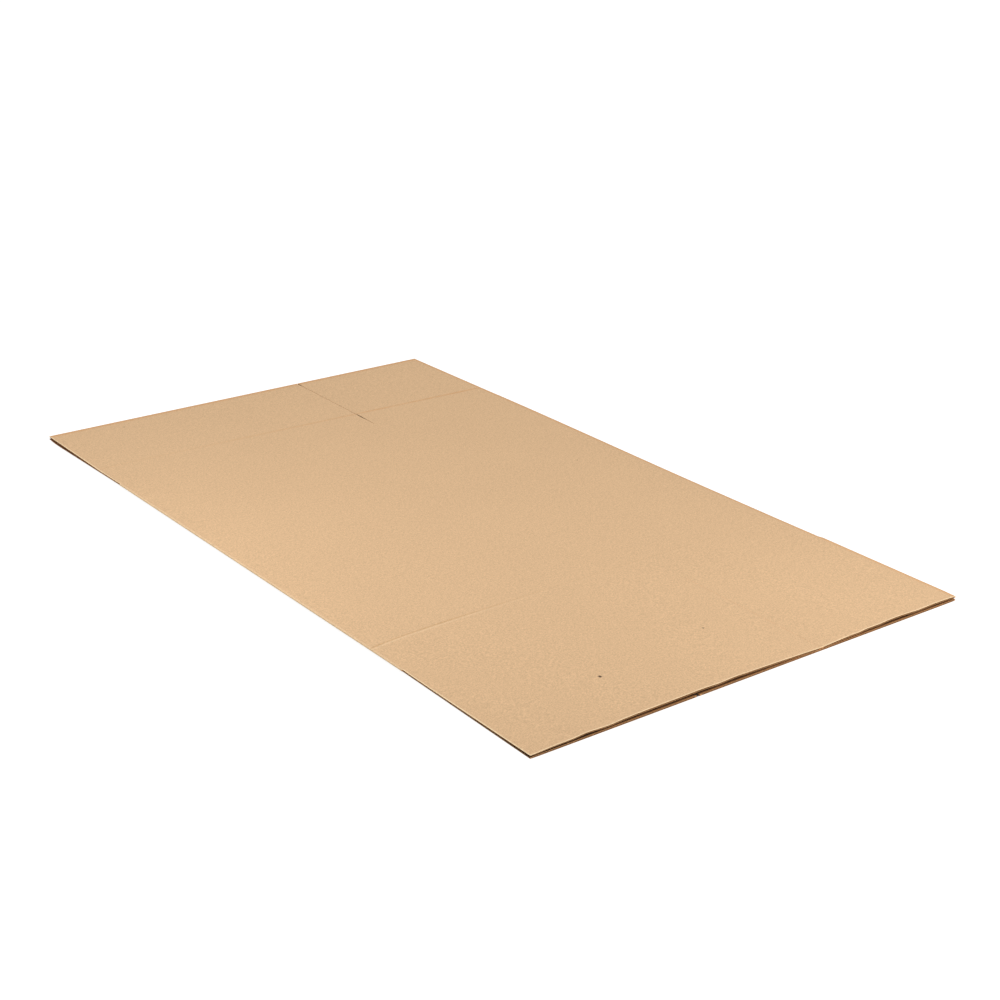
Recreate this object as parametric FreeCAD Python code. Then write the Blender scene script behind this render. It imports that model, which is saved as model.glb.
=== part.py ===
import FreeCAD, Part
import math
import os

# A slotted carton of single-wall corrugated board, lying flat as it comes from the maker.
# One blank is folded round into a tube and glued along a tab, so it is one piece of board.
# X runs across the flutes, +Y runs along them towards the far flaps, +Z is up.
# The origin is at the middle of the underside, on the surface that the carton lies on.
# Sizes are in millimetres.

# The board: two flat liners with a fluted paper between them
BOARD = 2.9
LINER = 0.3
MEDIUM = 0.25
FLUTE_PITCH = 6.5

# The blank's panels and flaps
LONG_PANEL = 645.0
SHORT_PANEL = 355.0
BODY_HEIGHT = 1060.0
FLAP_LENGTH = 355.0

# The slots between the flaps
SLOT_EASE = 0.6
NEAR_SLIT = 1.0
FAR_SLIT = 3.0
CUT_MARGIN = 1.5

# The glued joint: a tab inside the tube, over the seam of the underside
TAB_WIDTH = 35.0
TAB_HINGE = 3.0
TAB_SETBACK = 12.0
SEAM = 1.5

# The way the upper board springs up from the lower one
FOLD_EASE = 0.5
FOLD_GAP_LEFT = 0.4
FOLD_GAP_RIGHT = 2.2
SCORE_GAP = 0.3
LONG_ARCH = 6.2
LONG_ARCH_CREST = 0.56
SHORT_ARCH = 4.4
LONG_FACETS = 16
SHORT_FACETS = 14

# The pressed lines across the board, with the two deep ones measured from the ends
SCORE_WIDTH = 3.0
SCORE_DEPTH = 0.1
NEAR_CREASE_PLACE = 470.0
FAR_CREASE_PLACE = 270.0
CREASE_WIDTH = 4.0
CREASE_DEPTH = 0.2

# Sizes that follow from those above
width = LONG_PANEL + SHORT_PANEL
length = BODY_HEIGHT + 2 * FLAP_LENGTH
left = -width / 2
right = width / 2
near = -length / 2
far = length / 2
score_x = left + LONG_PANEL
joint_x = left + SHORT_PANEL
half_slot = BOARD + SLOT_EASE
fold_radius = BOARD - FOLD_EASE
flute_height = BOARD - 2 * LINER
above = 3 * BOARD + LONG_ARCH + SHORT_ARCH + FOLD_GAP_LEFT + FOLD_GAP_RIGHT


def lift(x):
    """Height of the free space between the two boards at the place x."""
    if x < score_x:
        share = max(0.0, (x - left) / LONG_PANEL)
        skew = math.log(0.5) / math.log(LONG_ARCH_CREST)
        level = FOLD_GAP_LEFT + (SCORE_GAP - FOLD_GAP_LEFT) * share
        return level + LONG_ARCH * math.sin(math.pi * share**skew)
    share = min(1.0, (x - score_x) / SHORT_PANEL)
    level = SCORE_GAP + (FOLD_GAP_RIGHT - SCORE_GAP) * share
    return level + SHORT_ARCH * math.sin(math.pi * share)


def upper_base(x):
    """Height of the upper board's lower face."""
    return BOARD + lift(x)


def lower_base(x):
    """Height of the lower board's lower face, which lies flat."""
    return 0.0


def tab_base(x):
    """Height of the glue tab's lower face, which lies on the lower board."""
    return BOARD


def facet_places(start, end):
    """Places from start to end where the arched board's facets meet, always with the score."""
    places = []
    for a, b, count in ((start, score_x, LONG_FACETS), (score_x, end, SHORT_FACETS)):
        places += [a + (b - a) * i / count for i in range(count)]
    return places + [end]


def point(x, z):
    """A point of the section, which is drawn in the plane through the origin."""
    return FreeCAD.Vector(x, 0, z)


def ring(corners):
    """A closed outline through the corners. Holes go clockwise and outsides the other way."""
    return Part.makePolygon(corners + corners[:1])


def quarter_turn(x, z, start_degrees):
    """A quarter of the fold's outer round about the centre x, z, going anticlockwise."""
    turns = [math.radians(start_degrees + step) for step in (0, 45, 90)]
    ends = [point(x + fold_radius * math.cos(a), z + fold_radius * math.sin(a)) for a in turns]
    return Part.Arc(*ends).toShape()


def tube_outline():
    """The outside of the folded tube: flat below, arched above and round at both folds."""
    inner_left = left + fold_radius
    inner_right = right - fold_radius
    top = [point(x, upper_base(x) + BOARD) for x in facet_places(inner_left, inner_right)]
    top.reverse()
    right_rise = top[0].z - fold_radius
    left_rise = top[-1].z - fold_radius
    edges = [
        Part.makeLine(point(inner_left, 0), point(inner_right, 0)),
        quarter_turn(inner_right, fold_radius, 270),
        Part.makeLine(point(right, fold_radius), point(right, right_rise)),
        quarter_turn(inner_right, right_rise, 0),
    ]
    edges += [Part.makeLine(a, b) for a, b in zip(top, top[1:])]
    edges += [
        quarter_turn(inner_left, left_rise, 90),
        Part.makeLine(point(left, left_rise), point(left, fold_radius)),
        quarter_turn(inner_left, fold_radius, 180),
    ]
    return Part.Wire(edges)


def space_outline():
    """The free space between the two boards, from one fold to the other."""
    start = left + BOARD
    end = right - BOARD
    roof = [point(x, upper_base(x)) for x in facet_places(start, end)]
    return ring(roof + [point(end, BOARD), point(start, BOARD)])


def flute_outlines(base, start, end):
    """The three-sided channels between the fluted paper and the liners, side by side."""
    slope = math.atan(flute_height / (FLUTE_PITCH / 2))
    side = FLUTE_PITCH / 2 - MEDIUM / 2 / math.sin(slope)
    tip = MEDIUM / 2 / math.cos(slope)
    count = int((end - start) // FLUTE_PITCH)
    first = (start + end - (count - 1) * FLUTE_PITCH) / 2
    outlines = []
    for i in range(2 * count - 1):
        x = first + i * FLUTE_PITCH / 2
        low = [point(x + dx, base(x + dx) + LINER) for dx in (side, -side)]
        high = [point(x + dx, base(x + dx) + BOARD - LINER) for dx in (-side, side)]
        if i % 2:
            outlines.append(ring(high + [point(x, base(x) + LINER + tip)]))
        else:
            outlines.append(ring(low + [point(x, base(x) + BOARD - LINER - tip)]))
    return outlines


def drawn_along(wires, start, end):
    """A solid of the section that the wires bound, from the place start to the place end."""
    section = Part.Face(wires)
    section.translate(FreeCAD.Vector(0, start, 0))
    return section.extrude(FreeCAD.Vector(0, end - start, 0))


def block(x_range, y_range, z_range):
    """A box between three pairs of places."""
    sizes = [high - low for low, high in (x_range, y_range, z_range)]
    corner = FreeCAD.Vector(x_range[0], y_range[0], z_range[0])
    return Part.makeBox(*sizes, corner)


def make_tube():
    """Both boards with their flutes and folds, over the whole length of the blank."""
    edge = half_slot + CUT_MARGIN
    score_side = max(NEAR_SLIT, FAR_SLIT) / 2 + CUT_MARGIN
    wires = [tube_outline(), space_outline()]
    wires += flute_outlines(lower_base, left + edge, joint_x - edge)
    wires += flute_outlines(lower_base, joint_x + edge, right - edge)
    wires += flute_outlines(upper_base, left + edge, score_x - score_side)
    wires += flute_outlines(upper_base, score_x + score_side, right - edge)
    return drawn_along(wires, near, far)


def make_tab():
    """The glue tab: board that runs from the short panel onto the inside of the long one."""
    start = joint_x - TAB_HINGE
    end = joint_x + TAB_WIDTH
    corners = [point(start, BOARD), point(end, BOARD), point(end, 2 * BOARD), point(start, 2 * BOARD)]
    wires = [ring(corners)]
    wires += flute_outlines(tab_base, joint_x + CUT_MARGIN, end - CUT_MARGIN)
    return drawn_along(wires, near + FLAP_LENGTH + TAB_SETBACK, far - FLAP_LENGTH - TAB_SETBACK)


def slot_cutters():
    """The cuts that part the flaps: at both folds, at the upper score and at the joint."""
    below = -BOARD
    between = BOARD + SCORE_GAP / 2
    cutters = []
    for start, end, slit in (
        (near, near + FLAP_LENGTH, NEAR_SLIT),
        (far - FLAP_LENGTH, far, FAR_SLIT),
    ):
        run = (start, end)
        cutters.append(block((left, left + half_slot), run, (below, above)))
        cutters.append(block((right - half_slot, right), run, (below, above)))
        cutters.append(block((score_x - slit / 2, score_x + slit / 2), run, (between, above)))
        cutters.append(block((joint_x - half_slot, joint_x + half_slot), run, (below, between)))
    body = (near + FLAP_LENGTH, far - FLAP_LENGTH)
    cutters.append(block((joint_x, joint_x + SEAM), body, (below, BOARD)))
    return cutters


def upper_groove(y, groove_width, depth):
    """A pressed line across the upper face at the place y, which follows the arches."""
    ends = [left + fold_radius, right - fold_radius]
    floor = [point(x, upper_base(x) + BOARD - depth) for x in facet_places(*ends)]
    corners = floor + [point(ends[1], above), point(ends[0], above)]
    return drawn_along([ring(corners)], y - groove_width / 2, y + groove_width / 2)


def lower_groove(y, groove_width, depth):
    """A pressed line across the underside at the place y."""
    run = (y - groove_width / 2, y + groove_width / 2)
    return block((left, right), run, (-BOARD, depth))


def groove_cutters():
    """The flap scores at the slots' ends, on both faces, and the two creases of the upper face."""
    cutters = []
    for y in (near + FLAP_LENGTH, far - FLAP_LENGTH):
        cutters.append(upper_groove(y, SCORE_WIDTH, SCORE_DEPTH))
        cutters.append(lower_groove(y, SCORE_WIDTH, SCORE_DEPTH))
    for y in (near + NEAR_CREASE_PLACE, far - FAR_CREASE_PLACE):
        cutters.append(upper_groove(y, CREASE_WIDTH, CREASE_DEPTH))
    return cutters


carton = make_tube().fuse(make_tab())
carton = carton.cut(slot_cutters())
carton = carton.cut(groove_cutters())

os.makedirs("parts", exist_ok=True)
carton.exportStep("parts/carton.step")
print("solids", len(carton.Solids), "valid", carton.isValid(), "faces", len(carton.Faces))
print("volume cm3", round(carton.Volume / 1000, 1), "box", carton.BoundBox)
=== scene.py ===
"""A tall slotted carton of corrugated board, lying flat in two layers.

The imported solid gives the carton's box. The board is then made again as one closed mesh that
lies where the solid does: two boards with open flute ends, slots, folds, pressed lines and the
way the flat carton springs up. Lengths are in metres.
"""

from __future__ import annotations

import functools
import logging
import math
from dataclasses import dataclass, field
from enum import Enum

import bmesh
import bpy
from bpy.types import ID, Material, Node, NodeSocket, NodeTree, Object
from mathutils import Matrix, Vector

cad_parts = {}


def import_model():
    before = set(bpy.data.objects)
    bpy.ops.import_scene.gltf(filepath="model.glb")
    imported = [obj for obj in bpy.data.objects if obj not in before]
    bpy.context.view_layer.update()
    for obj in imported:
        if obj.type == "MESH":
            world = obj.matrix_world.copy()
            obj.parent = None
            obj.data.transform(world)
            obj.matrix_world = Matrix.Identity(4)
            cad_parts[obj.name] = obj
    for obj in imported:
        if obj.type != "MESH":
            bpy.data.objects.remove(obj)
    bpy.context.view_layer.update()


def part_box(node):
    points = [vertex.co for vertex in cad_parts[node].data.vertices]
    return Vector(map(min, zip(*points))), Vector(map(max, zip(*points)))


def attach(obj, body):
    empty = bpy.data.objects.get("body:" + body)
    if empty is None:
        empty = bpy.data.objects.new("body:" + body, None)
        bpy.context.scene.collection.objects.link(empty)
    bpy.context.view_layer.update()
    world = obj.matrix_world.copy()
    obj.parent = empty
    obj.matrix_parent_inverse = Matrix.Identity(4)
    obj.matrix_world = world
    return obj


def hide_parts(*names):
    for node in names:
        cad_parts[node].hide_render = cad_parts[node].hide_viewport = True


LOG = logging.getLogger("carton")
NODE = "carton"
MM = 0.001

# Two places that differ by less than this are the same place
NEARLY = 1e-6

WHITE = (1.0, 1.0, 1.0, 1.0)

# A colour's red, green and blue, the same or a socket that gives it, and a node's inputs
Tone = tuple[float, float, float]
Colour = Tone | NodeSocket
Feeds = dict[str | int, object]


class Paper(Enum):
    """The surfaces of the board, in the order of the piece's material slots."""

    LINER = 0
    CUT = 1
    FLUTING = 2
    INSIDE = 3


class End(Enum):
    """The two ends of the carton where the flutes are cut open."""

    NEAR = -1
    FAR = 1


class Strip(Enum):
    """What a column of a board's grid holds."""

    PLAIN = "plain board"
    FLUTE = "one flute"
    EDGE = "a cut edge, open between its two liners"


class Block(Enum):
    """What fills a cell of a board's grid, as layers counted from the board's lower face up."""

    GONE = ()
    BOARD = (0, 1, 2)
    OPEN_EDGE = (0, 2)
    BOARD_AND_TAB = (0, 1, 2, 3, 4, 5)
    TAB_OVER_SEAM = (3, 4, 5)


def ramp(value: float, low: float, high: float) -> float:
    """Rises in a straight line from 0, where the value is low, to 1, where it is high."""
    return min(1.0, max(0.0, (value - low) / (high - low)))


def soft(share: float) -> float:
    """Rounds off both ends of a share that runs from 0 to 1."""
    return share * share * (3 - 2 * share)


def hump(away: float, width: float) -> float:
    """Gives the height of a round hump of height 1, at a distance from its middle."""
    return math.exp(-((away / width) ** 2))


def mix(first: float, second: float, share: float) -> float:
    """Gives the value between two others, at a share of the way to the second one."""
    return first + (second - first) * share


def arch(share: float, start: float, end: float, rise: float, skew: float = 1.0) -> float:
    """Gives the space under an arch between two end spaces. Its skew moves the crest."""
    return mix(start, end, share) + rise * math.sin(math.pi * share**skew)


def new_object(name: str, data: ID) -> Object:
    """Makes an object and links it to the scene.

    Args:
        name: the object's name.
        data: its mesh, light or camera.

    Returns:
        The new object.
    """
    item = bpy.data.objects.new(name, data)
    bpy.context.scene.collection.objects.link(item)
    return item


@dataclass(frozen=True)
class BoardSizes:
    """Single-wall corrugated board.

    Args:
        thickness: of the whole board.
        liner: thickness of each flat paper.
        medium: thickness of the fluted paper.
        pitch: distance from one flute to the next.
        land: width of the glue line on the tip of each flute.
        slopes: straight steps that make each side of a flute.
        open_depth: how deep the flutes are modelled from the cut ends.
        mouth: depth of the row of faces that joins the flutes' fine steps to the coarse grid.
        recess: how far the fluted paper stops short of an edge that is cut along the flutes.
        margin: board without whole flutes beside such an edge.
    """

    thickness: float = 2.9 * MM
    liner: float = 0.4 * MM
    medium: float = 0.25 * MM
    pitch: float = 6.5 * MM
    land: float = 0.7 * MM
    slopes: int = 3
    open_depth: float = 60 * MM
    mouth: float = 6 * MM
    recess: float = 1.0 * MM
    margin: float = 1.5 * MM

    def layer_heights(self) -> list[float]:
        """Lists where the layers of the board, and of a tab on top of it, start and end."""
        own = [0.0, self.liner, self.thickness - self.liner]
        return own + [self.thickness + height for height in own] + [2 * self.thickness]

    def flute_steps(self) -> list[tuple[float, float, float]]:
        """Lists the steps of one flute.

        Returns:
            For each step its place across the flute, and the heights of the fluted paper's two
            faces above the board's lower face.
        """
        half = self.pitch / 2
        free = self.thickness - 2 * self.liner - self.medium
        run = half - self.land
        rise = []
        for i in range(self.slopes + 1):
            turn = math.pi * i / self.slopes
            middle = free * (1 - math.cos(turn)) / 2
            tilt = free * math.pi / 2 / run * math.sin(turn)
            extra = self.medium * (math.sqrt(1 + tilt * tilt) - 1) / 2
            place = self.land / 2 + run * i / self.slopes
            rise.append((place, middle - extra, middle + extra))
        steps = [(0.0, 0.0, 0.0)] + rise
        steps += [(self.pitch - place, low, high) for place, low, high in reversed(rise)]
        steps += [(self.pitch, 0.0, 0.0)]
        return [(p, self.liner + low, self.liner + self.medium + high) for p, low, high in steps]


@dataclass(frozen=True)
class Crease:
    """A pressed line across the board: a groove with a low ridge in front of it.

    Args:
        place: where it crosses the middle of the carton.
        slant: how far it moves along the carton for each metre across.
        hook: how far its left end bends off along the carton.
        hook_from: where that end is.
        hook_length: length over which the bend dies out.
        groove: depth of the groove.
        groove_width: half width of the groove.
        ridge: height of the ridge.
        spread: distance from the groove to the ridge.
        start: where the line begins, across the carton.
        end: where it ends.
        fade: length over which it runs out beyond its start and end.
        rest: the share of its depth that goes on across the whole board.
        rows: the rows of the grid that its section needs, as shares of the spread.
    """

    place: float
    slant: float = 0.0
    hook: float = 0.0
    hook_from: float = -500 * MM
    hook_length: float = 90 * MM
    groove: float = 0.05 * MM
    groove_width: float = 1.6 * MM
    ridge: float = 0.0
    spread: float = 4 * MM
    start: float = -1.0
    end: float = 1.0
    fade: float = 80 * MM
    rest: float = 0.15
    rows: tuple[float, ...] = (-2.2, -1.5, -1.0, -0.6, -0.3, 0.0, 0.3, 0.6, 1.4)

    def line(self, x: float) -> float:
        """Gives the line's place along the carton at the place x across it."""
        bend = self.hook * math.exp((self.hook_from - x) / self.hook_length)
        return self.place + self.slant * x + bend

    def strength(self, x: float) -> float:
        """Gives the share of the line's depth that it has at a place.

        Args:
            x: the place across the carton.

        Returns:
            The share, from rest to 1.
        """
        begun = soft(ramp(x, self.start - self.fade, self.start))
        going = soft(ramp(self.end + self.fade - x, 0, self.fade))
        return self.rest + (1 - self.rest) * begun * going

    def relief(self, x: float, y: float) -> float:
        """Gives the height that the line adds to the board at a place.

        Args:
            x: the place across the carton.
            y: the place along it.

        Returns:
            The height, which is negative in the groove.
        """
        away = y - self.line(x)
        groove = self.groove * hump(away, self.groove_width)
        ridge = self.ridge * hump(away + self.spread, self.groove_width)
        return (ridge - groove) * self.strength(x)

    def offsets(self) -> list[float]:
        """Lists the rows of the grid that the line's section needs, as distances from it."""
        return [share * self.spread for share in self.rows]


@dataclass(frozen=True)
class Row:
    """A row of the grid: a place along the carton, or a distance from a crease."""

    place: float
    crease: Crease | None = None

    def at(self, x: float) -> float:
        """Gives the row's place along the carton at the place x across it."""
        return self.place if self.crease is None else self.crease.line(x) + self.place

    def nominal(self) -> float:
        """Gives the row's place at the middle of the carton, by which rows are sorted."""
        return self.place + (self.crease.place if self.crease else 0.0)


@dataclass(frozen=True)
class Dent:
    """A shallow wave in the near cut edge of the upper board: where, how high and how wide."""

    place: float
    height: float
    width: float


@dataclass(frozen=True)
class Side:
    """How high one side of the carton lies, from its near flap to its far flap.

    Args:
        near_flap: height of the near flap's edge, where it leaves the body.
        near_body: height of the fold at the near part of the body.
        far_body: height of the fold at the far part of the body.
        far_flap: height of the far flap's edge, where it leaves the body.
        lift: how far the fold's underside is off the ground.
        near_lift: the same at the near cut end.
        far_lift: the same at the far cut end.
        crush: share of its thickness that the board has lost beside the fold and slots.
        rise_from: where the fold's height starts to change along the body.
        rise_to: where it has changed.
        release: length over which a flap's edge springs away from the fold's height.
    """

    near_flap: float
    near_body: float
    far_body: float
    far_flap: float
    lift: float
    near_lift: float
    far_lift: float
    crush: float
    rise_from: float = -220 * MM
    rise_to: float = 450 * MM
    release: float = 15 * MM

    def top(self, y: float, body: float) -> float:
        """Gives the height of the side's upper face.

        Args:
            y: place along the carton.
            body: half the length of the body.

        Returns:
            The height.
        """
        share = soft(ramp(y, self.rise_from, self.rise_to))
        fold = mix(self.near_body, self.far_body, share)
        flap = self.near_flap if y < 0 else self.far_flap
        return mix(fold, flap, soft(ramp(abs(y) - body, 0, self.release)))

    def underside(self, y: float, body: float, end: float) -> float:
        """Gives how far the side's lower face is off the ground, as top does for its upper one."""
        at_end = self.near_lift if y < 0 else self.far_lift
        return mix(self.lift, at_end, ramp(abs(y), body - self.release, end))


@dataclass(frozen=True)
class Lie:
    """How the carton lies: the upper board springs up, and the folds come off the ground.

    Args:
        wide_arch: height of the wide panel's arch at the near end.
        crest: where that arch is highest, as a share of the panel.
        narrow_arch: height of the narrow panel's arch at the near end.
        left_gap: free space beside the left fold at the near end.
        right_gap: free space beside the right fold at the near end.
        score_gap: free space at the pressed-down score at the near end.
        body_top: height of the body away from the folds.
        far_top: height of the far end at its left corner.
        far_fall: how much lower its right corner is.
        left: the left side.
        right: the right side.
        shoulder: width of the round shoulder beside each side.
        curl: width over which the underside comes down to the ground.
        crush_width: width of the crushed board beside each side.
        dents: shallow waves in the near cut edge.
        dent_depth: how far they reach from the edge.
        droop: how far the near right corner is bent down.
        droop_reach: size of the bent corner.
        tuck: how far the lower board's far left corner is bent up.
        tuck_reach: size of that corner.
        least_gap: the space that stays between the boards wherever they lie close.
        pinch: share of the upper board's thickness lost at the near left corner.
        pinch_width: width from the left side over which that dies out.
        pinch_depth: depth from the cut end over which it dies out.
    """

    wide_arch: float = 6.15 * MM
    crest: float = 0.56
    narrow_arch: float = 4.0 * MM
    left_gap: float = 0.4 * MM
    right_gap: float = 3.6 * MM
    score_gap: float = 0.3 * MM
    body_top: float = 12.0 * MM
    far_top: float = 11.9 * MM
    far_fall: float = 0.9 * MM
    left: Side = Side(
        near_flap=9.2 * MM, near_body=10.2 * MM, far_body=10.2 * MM, far_flap=8.6 * MM,
        lift=7.3 * MM, near_lift=0.6 * MM, far_lift=2.3 * MM, crush=0.45,
    )
    right: Side = Side(
        near_flap=10.2 * MM, near_body=7.5 * MM, far_body=11.7 * MM, far_flap=11.4 * MM,
        lift=1.0 * MM, near_lift=0.6 * MM, far_lift=0.6 * MM, crush=0.2,
    )
    shoulder: float = 20 * MM
    curl: float = 18 * MM
    crush_width: float = 9 * MM
    dents: tuple[Dent, ...] = (
        Dent(-450 * MM, 0.9 * MM, 35 * MM),
        Dent(-385 * MM, 1.7 * MM, 20 * MM),
        Dent(-335 * MM, -1.1 * MM, 20 * MM),
        Dent(-190 * MM, -0.6 * MM, 60 * MM),
        Dent(-100 * MM, -1.3 * MM, 20 * MM),
        Dent(-55 * MM, 0.4 * MM, 16 * MM),
        Dent(240 * MM, -1.0 * MM, 14 * MM),
        Dent(290 * MM, -1.0 * MM, 18 * MM),
        Dent(395 * MM, -1.8 * MM, 30 * MM),
    )
    dent_depth: float = 60 * MM
    droop: float = 0.7 * MM
    droop_reach: float = 10 * MM
    tuck: float = 2.6 * MM
    tuck_reach: float = 25 * MM
    least_gap: float = 0.1 * MM
    pinch: float = 0.42
    pinch_width: float = 300 * MM
    pinch_depth: float = 50 * MM


@dataclass
class Shell:
    """Collects faces, and shares a corner wherever two faces meet.

    Args:
        places: the corners' places.
        known: the number of the corner at each rounded place.
        faces: the numbers of each face's corners.
        papers: the surface that each face shows.
        steps: rounding steps in a metre.
        sharp_angle: the least angle between two faces that shows as an edge, in degrees.
    """

    places: list[tuple[float, float, float]] = field(default_factory=list)
    known: dict[tuple[int, int, int], int] = field(default_factory=dict)
    faces: list[list[int]] = field(default_factory=list)
    papers: list[Paper] = field(default_factory=list)
    steps: float = 1e7
    sharp_angle: float = 35

    def corner(self, x: float, y: float, z: float) -> int:
        """Gives the number of the corner at a place, and makes it if it is new.

        Args:
            x: place across the carton.
            y: place along the carton.
            z: height.

        Returns:
            The corner's number.
        """
        key = (round(x * self.steps), round(y * self.steps), round(z * self.steps))
        if key not in self.known:
            self.known[key] = len(self.places)
            self.places.append((x, y, z))
        return self.known[key]

    def face(self, corners: list[int], paper: Paper) -> None:
        """Adds a face, without the corners that fall together.

        Args:
            corners: the numbers of its corners in order.
            paper: the surface that it shows.
        """
        kept = [c for i, c in enumerate(corners) if c != corners[i - 1]]
        if len(set(kept)) >= 3:
            self.faces.append(kept)
            self.papers.append(paper)

    def to_object(self, name: str, materials: list[Material]) -> Object:
        """Makes the object, with its faces turned outwards and smooth but for sharp edges.

        Args:
            name: the object's name.
            materials: one for each surface, in the order of Paper.

        Returns:
            The new object, linked to the scene.
        """
        mesh = bpy.data.meshes.new(name)
        mesh.from_pydata(self.places, [], self.faces)
        for material in materials:
            mesh.materials.append(material)
        mesh.polygons.foreach_set("material_index", [paper.value for paper in self.papers])
        shape = bmesh.new()
        shape.from_mesh(mesh)
        loose = [corner for corner in shape.verts if not corner.link_faces]
        bmesh.ops.delete(shape, geom=loose, context="VERTS")
        bmesh.ops.recalc_face_normals(shape, faces=shape.faces)
        shape.to_mesh(mesh)
        shape.free()
        mesh.shade_smooth()
        mesh.set_sharp_from_angle(angle=math.radians(self.sharp_angle))
        mesh.update()
        return new_object(name, mesh)


@dataclass(frozen=True)
class Column:
    """A column of cells in a board's grid, from its left side to its right side."""

    start: float
    end: float
    strip: Strip = Strip.PLAIN

    def middle(self) -> float:
        """Gives the middle of the column."""
        return (self.start + self.end) / 2


@dataclass
class Carton:
    """The flat carton, made as one closed mesh.

    Args:
        half_width: half the distance from fold to fold.
        half_length: half the distance between the cut ends.
        board: the board's own sizes.
        lie: how the carton lies.
        wide_panel: width of the wide panel.
        flap: length of the flaps.
        fold_reach: how far a fold stands out beyond the flaps' side edges.
        fold_slack: how far the space inside the fold does.
        half_slot: half the width of the slots at the joint.
        slit_column: half the width of the grid's column that the upper slots lie in.
        near_slit: width of the closed slot at the near end of the upper board.
        far_slit: width of the slot at the far end of the upper board.
        far_slit_wide: width of that slot where it gapes most.
        far_slit_place: where it gapes most.
        far_slit_length: length over which it gapes.
        far_slit_mouth: length over which it gapes again just before the cut end.
        slit_rows: rows of the grid that give that slot its shape.
        slot_shift: how far the foot of the far slot is to the left of the score.
        slot_ease: length of the body over which the board shifts to it.
        slot_lean: how far the far flaps have swung to the right for each metre along them.
        tab_width: width of the glue tab.
        tab_setback: how far the tab stops short of the flap scores.
        seam: gap between the panels under the tab.
        row_step: usual distance between rows of the grid.
        fold_steps: straight steps that make the round of a fold.
        fold_power: how square that round is, with 1 for half an ellipse.
        near_crease: the crease across the near part of the body.
        far_crease: the crease across the far flaps.
        score_rows: rows of the grid for each flap score, as shares of its spread.
        shell: what the faces go into.
    """

    half_width: float
    half_length: float
    board: BoardSizes = BoardSizes()
    lie: Lie = Lie()
    wide_panel: float = 645 * MM
    flap: float = 355 * MM
    fold_reach: float = 1.8 * MM
    fold_slack: float = 0.3 * MM
    half_slot: float = 3.4 * MM
    slit_column: float = 1.5 * MM
    near_slit: float = 0.3 * MM
    far_slit: float = 1.0 * MM
    far_slit_wide: float = 3.2 * MM
    far_slit_place: float = 588 * MM
    far_slit_length: float = 18 * MM
    far_slit_mouth: float = 4 * MM
    slit_rows: tuple[float, ...] = (560 * MM, 575 * MM, 588 * MM, 655 * MM)
    slot_shift: float = 2.5 * MM
    slot_ease: float = 120 * MM
    slot_lean: float = 0.0235
    tab_width: float = 35 * MM
    tab_setback: float = 12 * MM
    seam: float = 1.5 * MM
    row_step: float = 70 * MM
    fold_steps: int = 10
    fold_power: float = 0.8
    near_crease: Crease = Crease(
        place=-421 * MM, hook=-12 * MM, groove=0.35 * MM, ridge=0.15 * MM,
        end=-400 * MM, fade=330 * MM,
    )
    far_crease: Crease = Crease(
        place=616 * MM, slant=-0.034, groove=0.18 * MM, groove_width=4 * MM,
        start=450 * MM, fade=850 * MM, rows=(-1.5, -0.8, 0.0, 0.8, 1.5),
    )
    score_rows: tuple[float, ...] = (-0.8, 0.0, 0.8)
    shell: Shell = field(default_factory=Shell)

    def __post_init__(self) -> None:
        """Works out the places that follow from the sizes."""
        self.edge = self.half_width - self.fold_reach
        self.score = -self.half_width + self.wide_panel
        self.joint = self.half_width - self.wide_panel
        self.body = self.half_length - self.flap
        scores = [Crease(place=y, rows=self.score_rows) for y in (-self.body, self.body)]
        self.creases = [self.near_crease, self.far_crease] + scores
        self.rows = self.make_rows()

    def make_rows(self) -> list[Row]:
        """Lists the grid's rows from the near end to the far end.

        Returns:
            The rows, close together at the ends, the slots' ends and the creases.
        """
        release = self.lie.left.release
        depths = [0.0, self.board.mouth, self.board.open_depth / 2, self.board.open_depth]
        depths += [self.flap - release, self.flap + self.tab_setback, self.flap + 2 * release]
        places = [self.half_length - depth for depth in depths]
        fixed = [Row(side * place) for side in (-1, 1) for place in places]
        fixed += [Row(place) for place in self.slit_rows]
        creased = [Row(away, crease) for crease in self.creases for away in crease.offsets()]
        rows = sorted(fixed + creased, key=Row.nominal)
        filled = []
        for row, after in zip(rows, rows[1:]):
            span = after.nominal() - row.nominal()
            count = max(1, round(span / self.row_step))
            filled.append(row)
            for i in range(1, count):
                filled.append(Row(row.nominal() + span * i / count))
        return filled + [rows[-1]]

    def side(self, x: float) -> Side:
        """Gives the side of the carton that is nearer to the place x."""
        return self.lie.left if x < 0 else self.lie.right

    def near_top(self, x: float, depth: float) -> float:
        """Gives the height of the upper face at the near cut end, with its dents.

        Args:
            x: place across the carton.
            depth: distance from the cut end, over which the dents run out.

        Returns:
            The height.
        """
        lie = self.lie
        if x < self.score:
            share = max(0.0, (x + self.half_width) / self.wide_panel)
            skew = math.log(0.5) / math.log(lie.crest)
            gap = arch(share, lie.left_gap, lie.score_gap, lie.wide_arch, skew)
        else:
            share = min(1.0, (x - self.score) / (self.half_width - self.score))
            gap = arch(share, lie.score_gap, lie.right_gap, lie.narrow_arch)
        waves = sum(dent.height * hump(x - dent.place, dent.width) for dent in lie.dents)
        return 2 * self.board.thickness + gap + waves * hump(depth, lie.dent_depth)

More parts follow.
